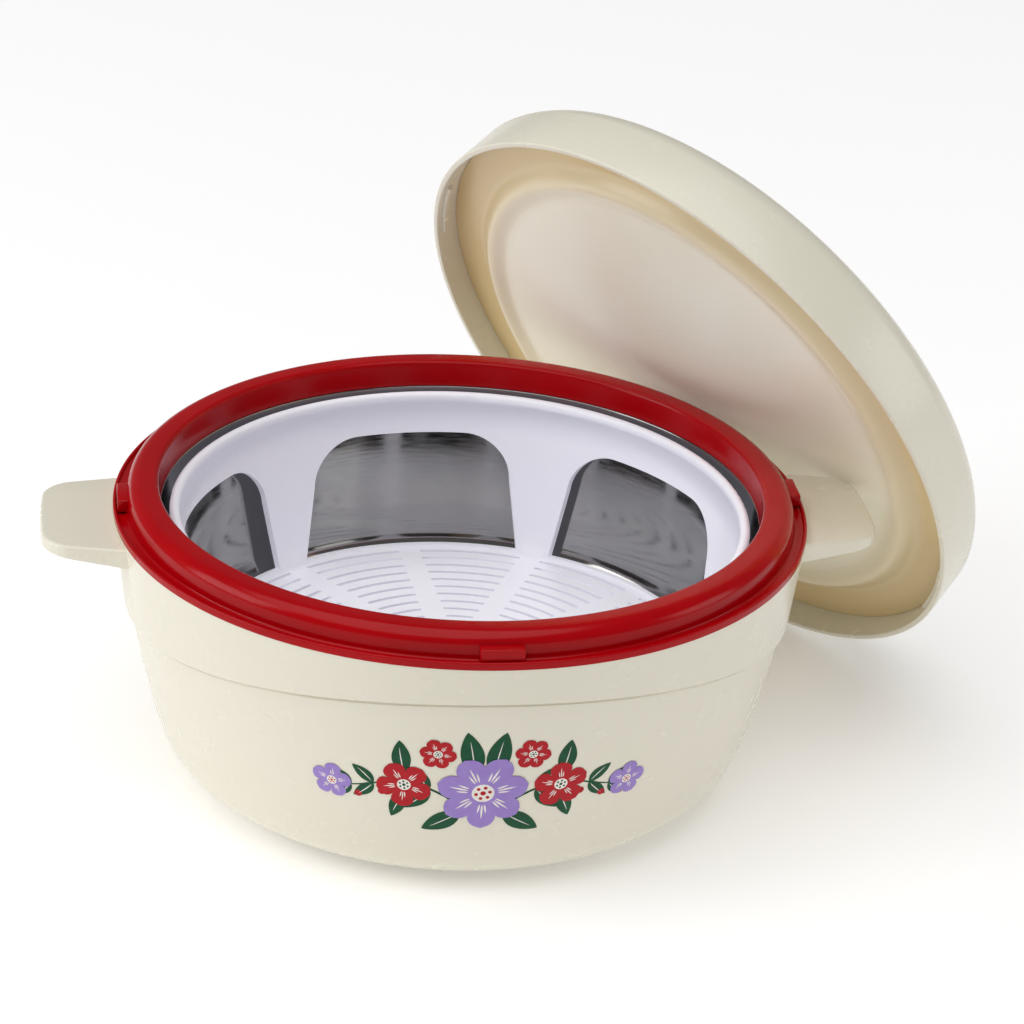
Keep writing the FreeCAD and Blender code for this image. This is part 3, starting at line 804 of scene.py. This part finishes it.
def liner_outline():
    """Floor, wall and rim inside, then the same sheet outside."""
    return rounded([(0.0, LINER_FLOOR, 0.0), (LINER_FOOT, LINER_FLOOR, LINER_BEND),
                    (LINER_MOUTH, LINER_RIM_TOP, 0.5), (LINER_RIM, LINER_RIM_TOP, 0.0),
                    (LINER_RIM, LINER_RIM_UNDER, 0.0), (LINER_MOUTH_OUT, LINER_RIM_UNDER, 0.0),
                    (LINER_FOOT_OUT, LINER_UNDER, LINER_BEND_OUT), (0.0, LINER_UNDER, 0.0)])


# Sizes that a user would change


class CasseroleSizes(bpy.types.PropertyGroup):
    """Size and place of the print"""
    print_width: FloatProperty(name="Print width", description="Length of the print round the bowl",
                               default=100 * MM, unit="LENGTH")
    print_height: FloatProperty(name="Print height", default=46 * MM, unit="LENGTH",
                                description="Middle of the print above the base")
    ink_lift: FloatProperty(name="Ink lift", description="Print's film above the shell",
                            default=0.12 * MM, unit="LENGTH")
    print_shift: FloatProperty(name="Print shift", description="Print's middle right of the front",
                               default=-3 * MM, unit="LENGTH")


class StudioSettings(bpy.types.PropertyGroup):
    """Floor and lights"""
    floor_size: FloatProperty(name="Floor", description="Side of the pale floor", default=14.0,
                              unit="LENGTH")
    key_power: FloatProperty(name="Left softbox", description="Power of the left light",
                             default=8.0)
    fill_power: FloatProperty(name="Right softbox", description="Power of the right light",
                              default=3.0)
    sun: FloatProperty(name="Ceiling", description="Strength of the wide light overhead",
                       default=1.75)
    sky: FloatProperty(name="Room light", description="Strength of the room's even light",
                       default=0.18)
    glow: FloatProperty(name="Floor glow", description="Light that the lit sweep gives back",
                        default=0.20)


# Operators, one for each piece or group of like pieces


class PotShell(bpy.types.Operator):
    """Ivory outer shell with band and handles, and its base plug"""
    bl_idname = "casserole.pot_shell"
    bl_label = "Pot shell"

    def execute(self, context):
        ivory = ivory_shell_finish()
        bm = joined(grid_turned(shell_outline), repeated(handle_mesh(), 2, ivory))
        stand_for(object_from(bm, "pot_shell", ivory), "outer_shell", "pot")
        stand_for(smooth_copy("base_plug", "filling_plug", ivory), "base_plug", "pot")
        return {"FINISHED"}


class SteelLiner(bpy.types.Operator):
    """Mirror-polished liner"""
    bl_idname = "casserole.steel_liner"
    bl_label = "Steel liner"

    def execute(self, context):
        steel = drawn_steel_finish()
        stand_for(object_from(turned(liner_outline(), steel), "drawn_liner", steel),
                  "steel_liner", "pot")
        return {"FINISHED"}


class Collar(bpy.types.Operator):
    """Red collar with its twist-lock lugs"""
    bl_idname = "casserole.collar"
    bl_label = "Red collar"

    def execute(self, context):
        red = red_collar_finish()
        lug = block((LUG_IN, -LUG_WIDTH / 2, LUG_LOW), (LUG_OUT, LUG_WIDTH / 2, LUG_HIGH),
                    LUG_EDGE)
        bm = joined(turned(collar_outline(), red), repeated(lug, LUG_COUNT, red))
        stand_for(object_from(bm, "red_collar", red), "collar_ring", "pot")
        return {"FINISHED"}


class Basket(bpy.types.Operator):
    """White basket with arches and a slotted floor"""
    bl_idname = "casserole.basket"
    bl_label = "Basket"

    def execute(self, context):
        stand_for(smooth_copy("chapati_basket", "slotted_basket", basket_finish()),
                  "chapati_basket", "basket")
        return {"FINISHED"}


class Lid(bpy.types.Operator):
    """Ivory lid and its inner panel"""
    bl_idname = "casserole.lid"
    bl_label = "Lid"

    def execute(self, context):
        ivory = bpy.data.materials["ivory_polypropylene"]
        outside = joined(turned(lid_outline(), ivory), repeated(lock_rib(), LUG_COUNT, ivory))
        outside.transform(lid_matrix())
        stand_for(object_from(outside, "lid_outside", ivory), "lid_shell", "lid")
        finish = lid_panel_finish()
        inside = turned(panel_outline(), finish)
        inside.transform(lid_matrix())
        stand_for(object_from(inside, "lid_inside", finish), "lid_inner_panel", "lid")
        return {"FINISHED"}


class Insulation(bpy.types.Operator):
    """Foam in the pot and in the lid"""
    bl_idname = "casserole.insulation"
    bl_label = "Insulation"

    def execute(self, context):
        foam = foam_finish()
        for node in ("body_foam", "lid_foam"):
            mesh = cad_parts[node].data
            mesh.materials.clear()
            mesh.materials.append(foam)
        return {"FINISHED"}


# Floral print: flat shapes in millimetres, u to the right and v up, then wrapped on the bowl


EYE_INK = {"lilac": "red", "red": "leaf_green"}
PETAL_UNEVENNESS = 0.06
LAYER = 0.03                  # one ink over another, mm
FILM = 0.02 * MM              # thickness of an ink
PRINT_GIRTH = 0.925           # bowl's radius at the print as a share of the collar's
STEM_WIDTH = 0.9
STEM_THINNING = 0.6
STEM_START = 8.0              # where a stem leaves the middle flower, mm
STEM_WAVE = 6.0               # how far the stem swings up and down, mm
LEAF_PLACES = (0.22, 0.66, 0.84)      # shares of the stem
BERRY_PLACES = (0.56, 0.75, 0.92)
BERRY_RADIUS = 1.3
LEAF_LEAN = 0.9               # angle between a leaf and the stem's way
LEAF_WIDTH = 0.46             # share of a leaf's length

# A flower's inner parts, as shares of its radius

STROKE_TILTS = (-0.16, 0.0, 0.16)
STROKE_START = 0.32
STROKE_REACH = 0.42
STROKE_WIDTH = 0.04
EYE = 0.24
EYE_HEART = 0.06
SEED_CIRCLE = 0.15
SEED_DOT = 0.042
SEED_DOTS = 6


def blade(bm, length, width, fullness, start=0.0, bend=0.0, level=0.0, fatness=0.8):
    """Petal or leaf along +u: fullness above 1 puts its widest part near the tip."""
    steps, across = 14, 4
    rows = []
    for i in range(steps + 1):
        share = i / steps
        half = width / 2 * max(0.0, math.sin(math.pi * share ** fullness)) ** fatness
        rows.append([bm.verts.new((start + length * share,
                                   bend * share * share + half * (2 * j / across - 1), level))
                     for j in range(across + 1)])
    for a, b in zip(rows, rows[1:]):
        for j in range(across):
            bm.faces.new((a[j], b[j], b[j + 1], a[j + 1]))


def disc(bm, radius, place=(0.0, 0.0), level=0.0, sides=20):
    """Flat round dot."""
    middle = bm.verts.new((place[0], place[1], level))
    ring = [bm.verts.new((place[0] + radius * math.cos(TURN * k / sides),
                          place[1] + radius * math.sin(TURN * k / sides), level))
            for k in range(sides)]
    for k in range(sides):
        bm.faces.new((middle, ring[k], ring[(k + 1) % sides]))


def ribbon(bm, line, width, level=0.0):
    """Stem along a function of 0 to 1, thinner towards its end."""
    steps = 48
    left, right = [], []
    for i in range(steps + 1):
        share = i / steps
        here, ahead = line(share), line(share + 1.0 / steps)
        run = Vector((ahead[0] - here[0], ahead[1] - here[1])).normalized()
        half = width / 2 * (1.0 - STEM_THINNING * share)
        left.append(bm.verts.new((here[0] - run.y * half, here[1] + run.x * half, level)))
        right.append(bm.verts.new((here[0] + run.y * half, here[1] - run.x * half, level)))
    for i in range(steps):
        bm.faces.new((right[i], right[i + 1], left[i + 1], left[i]))


class Garland:
    """Collects the flat shapes of each ink."""

    def __init__(self, inks):
        self.inks = inks
        self.meshes = {name: bmesh.new() for name in inks}

    def stamp(self, ink, draw, place, turn=0.0):
        """Draws one shape, then turns and places it."""
        bm = bmesh.new()
        draw(bm)
        self.put(ink, bm, place, turn)

    def put(self, ink, bm, place, turn):
        """Turns and places a finished shape among those of its ink."""
        bm.transform(Matrix.Translation((*place, 0.0)) @ Matrix.Rotation(turn, 4, "Z"))
        mesh = bpy.data.meshes.new("shape")
        bm.to_mesh(mesh)
        bm.free()
        self.meshes[ink].from_mesh(mesh)
        bpy.data.meshes.remove(mesh)

    def petals(self, ink, draw, count, seed, place, turn):
        """A ring of petals from one, by the geometry tree."""
        bm = bmesh.new()
        draw(bm)
        whole = repeated(bm, count, self.inks[ink], PETAL_UNEVENNESS, seed)
        self.put(ink, whole, place, turn)

    def flower(self, ink, count, radius, width, seed, place, turn=0.0, level=3 * LAYER):
        """Petals, pale strokes on each, a pale eye and a ring of seed dots."""
        self.petals(ink, lambda bm: blade(bm, radius, width, 1.75, level=level, fatness=0.6),
                    count, seed, place, turn)
        for tilt in STROKE_TILTS:
            self.petals("cream", lambda bm: blade(bm, radius * (STROKE_REACH - abs(tilt)),
                                                  radius * STROKE_WIDTH, 0.8,
                                                  start=radius * STROKE_START,
                                                  level=level + LAYER),
                        count, seed, place, turn + tilt)
        self.stamp("cream", lambda bm: disc(bm, radius * EYE, level=level + LAYER), place)
        self.petals(EYE_INK[ink], lambda bm: disc(bm, radius * SEED_DOT,
                                                  (radius * SEED_CIRCLE, 0.0),
                                                  level + 2 * LAYER, 8),
                    SEED_DOTS, seed, place, turn)
        self.stamp(EYE_INK[ink], lambda bm: disc(bm, radius * EYE_HEART,
                                                 level=level + 2 * LAYER, sides=10), place)

    def leaf(self, place, turn, length, width, bend):
        """Green leaf with a pale middle vein."""
        self.stamp("leaf_green", lambda bm: blade(bm, length, width, 0.85, bend=bend),
                   place, turn)
        self.stamp("cream", lambda bm: blade(bm, length * 0.7, 0.35, 0.9, start=length * 0.1,
                                             bend=bend * 0.5, level=LAYER), place, turn)


def stem_line(side, reach):
    """Wavy stem from the middle flower out to one side."""
    def point(share):
        return (side * (STEM_START + (reach - STEM_START) * share),
                -4.0 + STEM_WAVE * math.sin(1.4 * math.pi * share) + 9.0 * share * share)
    return point


def draw_garland(garland, reach):
    """A middle flower between two wavy stems with paired leaves, smaller flowers and berries."""
    for side in (-1.0, 1.0):
        line = stem_line(side, reach)
        garland.stamp("leaf_green", lambda bm: ribbon(bm, line, STEM_WIDTH, -LAYER), (0.0, 0.0))
        for share in LEAF_PLACES:
            u, v = line(share)
            length = 14.0 - 7.0 * share
            for up in (-1.0, 1.0):
                turn = up * LEAF_LEAN if side > 0 else math.pi - up * LEAF_LEAN
                garland.leaf((u, v), turn, length, length * LEAF_WIDTH, bend=-up * side * 1.4)
        for share in BERRY_PLACES:
            u, v = line(share)
            garland.stamp("red", lambda bm: disc(bm, BERRY_RADIUS, level=LAYER, sides=16),
                          (u + side * 1.5, v - 4.2))
        u, v = line(0.42)
        garland.leaf((side * 3.0, 8.0), math.pi / 2 - side * 0.12, 17.5, 7.6, bend=-side)
        garland.leaf((side * 7.0, -8.0), -math.pi / 2 + side * 0.95, 15.0, 7.0, bend=side)
        garland.leaf((u, v + 4.0), math.pi / 2 - side * 0.2, 13.0, 6.2, bend=side)
        garland.leaf((u, v - 5.0), -math.pi / 2 + side * 0.5, 11.0, 5.4, bend=-side)
        garland.flower("red", 5, 9.4, 7.6, 11, (u, v - 1.0), 0.4 * side)
        u, v = line(1.0)
        garland.flower("lilac", 5, 7.2, 5.8, 17, (u, v), 0.2)
        garland.flower("red", 6, 6.2, 4.6, 23, (side * 15.0, 16.0), 0.9)
    garland.flower("lilac", 7, 15.5, 9.6, 5, (0.0, 0.5), math.pi / 14, level=6 * LAYER)


def wrap_on_shell(bm, shell, centre_u, centre_v, lift):
    """Lays flat shapes on the bowl: each point goes straight in to the shell's surface."""
    tree = BVHTree.FromObject(shell, bpy.context.evaluated_depsgraph_get())
    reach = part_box("collar_ring")[1].x
    for vert in bm.verts:
        u, v, level = vert.co * MM
        angle = (u + centre_u) / (reach * PRINT_GIRTH)
        out = Vector((math.sin(angle), -math.cos(angle), 0.0))
        start = out * 2 * reach + Vector((0.0, 0.0, v + centre_v))
        hit = tree.ray_cast(start, -out)[0]
        vert.co = hit + out * (lift + level)
    welded(bm)
    bmesh.ops.recalc_face_normals(bm, faces=bm.faces)
    bmesh.ops.solidify(bm, geom=bm.faces[:], thickness=FILM)


class FloralPrint(bpy.types.Operator):
    """Printed garland on the bowl's front"""
    bl_idname = "casserole.floral_print"
    bl_label = "Floral print"

    def execute(self, context):
        sizes = context.scene.casserole_sizes
        inks = {"leaf_green": transfer_ink_finish("green_transfer_ink", "#08482a", "#0c5231"),
                "red": transfer_ink_finish("red_transfer_ink", "#b00c1a", "#b8111f"),
                "lilac": transfer_ink_finish("lilac_transfer_ink", "#9a80c8", "#a088cd"),
                "cream": transfer_ink_finish("cream_transfer_ink", "#eae4dc", "#f6f1ea")}
        garland = Garland(inks)
        draw_garland(garland, sizes.print_width / 2 / MM)
        shell = bpy.data.objects["pot_shell"]
        for name, bm in garland.meshes.items():
            bmesh.ops.remove_doubles(bm, verts=bm.verts, dist=FLAT_WELD)
            wrap_on_shell(bm, shell, sizes.print_shift, sizes.print_height, sizes.ink_lift)
            piece = object_from(bm, "print_" + name, inks[name])
            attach(piece, "pot")
        return {"FINISHED"}


class Studio(bpy.types.Operator):
    """Pale floor, soft lights and the camera"""
    bl_idname = "casserole.studio"
    bl_label = "Studio"

    def execute(self, context):
        settings = context.scene.casserole_studio
        bm = bmesh.new()
        bmesh.ops.create_grid(bm, x_segments=1, y_segments=1, size=settings.floor_size / 2)
        material, tree, shader, place = new_material("pale_paper_sweep")
        tint = noise(tree, place, PAPER_BLOTCH)
        tree.links.new(tinted(tree, tint, "#fdfcfc", "#fbfafa"), shader.inputs["Base Color"])
        shader.inputs["Roughness"].default_value = 0.7
        glowing(material, shader, "#ffffff", settings.glow)
        floor = object_from(bm, "floor", material)
        area_light("left_softbox", *LEFT_SOFTBOX, settings.key_power)
        area_light("right_softbox", *RIGHT_SOFTBOX, settings.fill_power)
        sky_light(settings.sun)
        context.scene.view_settings.view_transform = "Standard"
        world = bpy.data.worlds.new("studio_room")
        world.use_nodes = True
        background = world.node_tree.nodes["Background"]
        background.inputs["Color"].default_value = linear("#ffffff")
        background.inputs["Strength"].default_value = settings.sky
        context.scene.world = world
        photograph_camera(context.scene)
        return {"FINISHED"}


def area_light(name, place, size, power):
    """Square soft light that faces the pot."""
    data = bpy.data.lights.new(name, "AREA")
    data.size = size
    data.energy = power
    light = bpy.data.objects.new(name, data)
    light.location = place
    aim = Vector(SOFTBOX_AIM) - Vector(place)
    light.rotation_euler = aim.to_track_quat("-Z", "Y").to_euler()
    bpy.context.scene.collection.objects.link(light)


def sky_light(strength):
    """Wide light from above, a little to the left and the front, with soft shadows."""
    data = bpy.data.lights.new("ceiling", "SUN")
    data.energy = strength
    data.angle = CEILING_SPREAD
    light = bpy.data.objects.new("ceiling", data)
    light.rotation_euler = (CEILING_LEAN, -CEILING_LEAN, 0.0)
    bpy.context.scene.collection.objects.link(light)


def photograph_camera(scene):
    """Camera with the photograph's place, tilt, roll and lens."""
    data = bpy.data.cameras.new("camera")
    data.lens = CAMERA_LENS
    data.sensor_width = SENSOR
    data.clip_start = 0.05
    data.clip_end = 50.0
    heading, tilt = CAMERA_HEADING, CAMERA_TILT
    right = Vector((math.cos(heading), -math.sin(heading), 0.0))
    up = Vector((math.sin(tilt) * math.sin(heading), math.sin(tilt) * math.cos(heading),
                 math.cos(tilt)))
    back = -Vector((math.cos(tilt) * math.sin(heading), math.cos(tilt) * math.cos(heading),
                    -math.sin(tilt)))
    rolled_right = right * math.cos(CAMERA_ROLL) + up * math.sin(CAMERA_ROLL)
    rolled_up = up * math.cos(CAMERA_ROLL) - right * math.sin(CAMERA_ROLL)
    camera = bpy.data.objects.new("camera", data)
    axes = Matrix((rolled_right, rolled_up, back)).transposed()
    camera.matrix_world = Matrix.Translation(CAMERA_PLACE) @ axes.to_4x4()
    scene.collection.objects.link(camera)
    scene.camera = camera


class CasserolePanel(bpy.types.Panel):
    """Lists the pieces and their settings"""
    bl_idname = "VIEW3D_PT_casserole"
    bl_label = "Casserole"
    bl_space_type = "VIEW_3D"
    bl_region_type = "UI"
    bl_category = "Casserole"

    def draw(self, context):
        for group in (context.scene.casserole_sizes, context.scene.casserole_studio):
            for name in group.__annotations__:
                self.layout.prop(group, name)
        for operator in PIECES:
            self.layout.operator(operator.bl_idname)


PIECES = (PotShell, SteelLiner, Collar, Basket, Lid, Insulation, FloralPrint, Studio)
CLASSES = (CasseroleSizes, StudioSettings) + PIECES + (CasserolePanel,)


def register():
    for cls in CLASSES:
        bpy.utils.register_class(cls)
    bpy.types.Scene.casserole_sizes = PointerProperty(type=CasseroleSizes)
    bpy.types.Scene.casserole_studio = PointerProperty(type=StudioSettings)


def unregister():
    del bpy.types.Scene.casserole_studio
    del bpy.types.Scene.casserole_sizes
    for cls in reversed(CLASSES):
        bpy.utils.unregister_class(cls)


def main():
    """Makes every piece in order."""
    register()
    for operator in PIECES:
        group, name = operator.bl_idname.split(".")
        getattr(getattr(bpy.ops, group), name)()


if __name__ == "__main__":
    main()
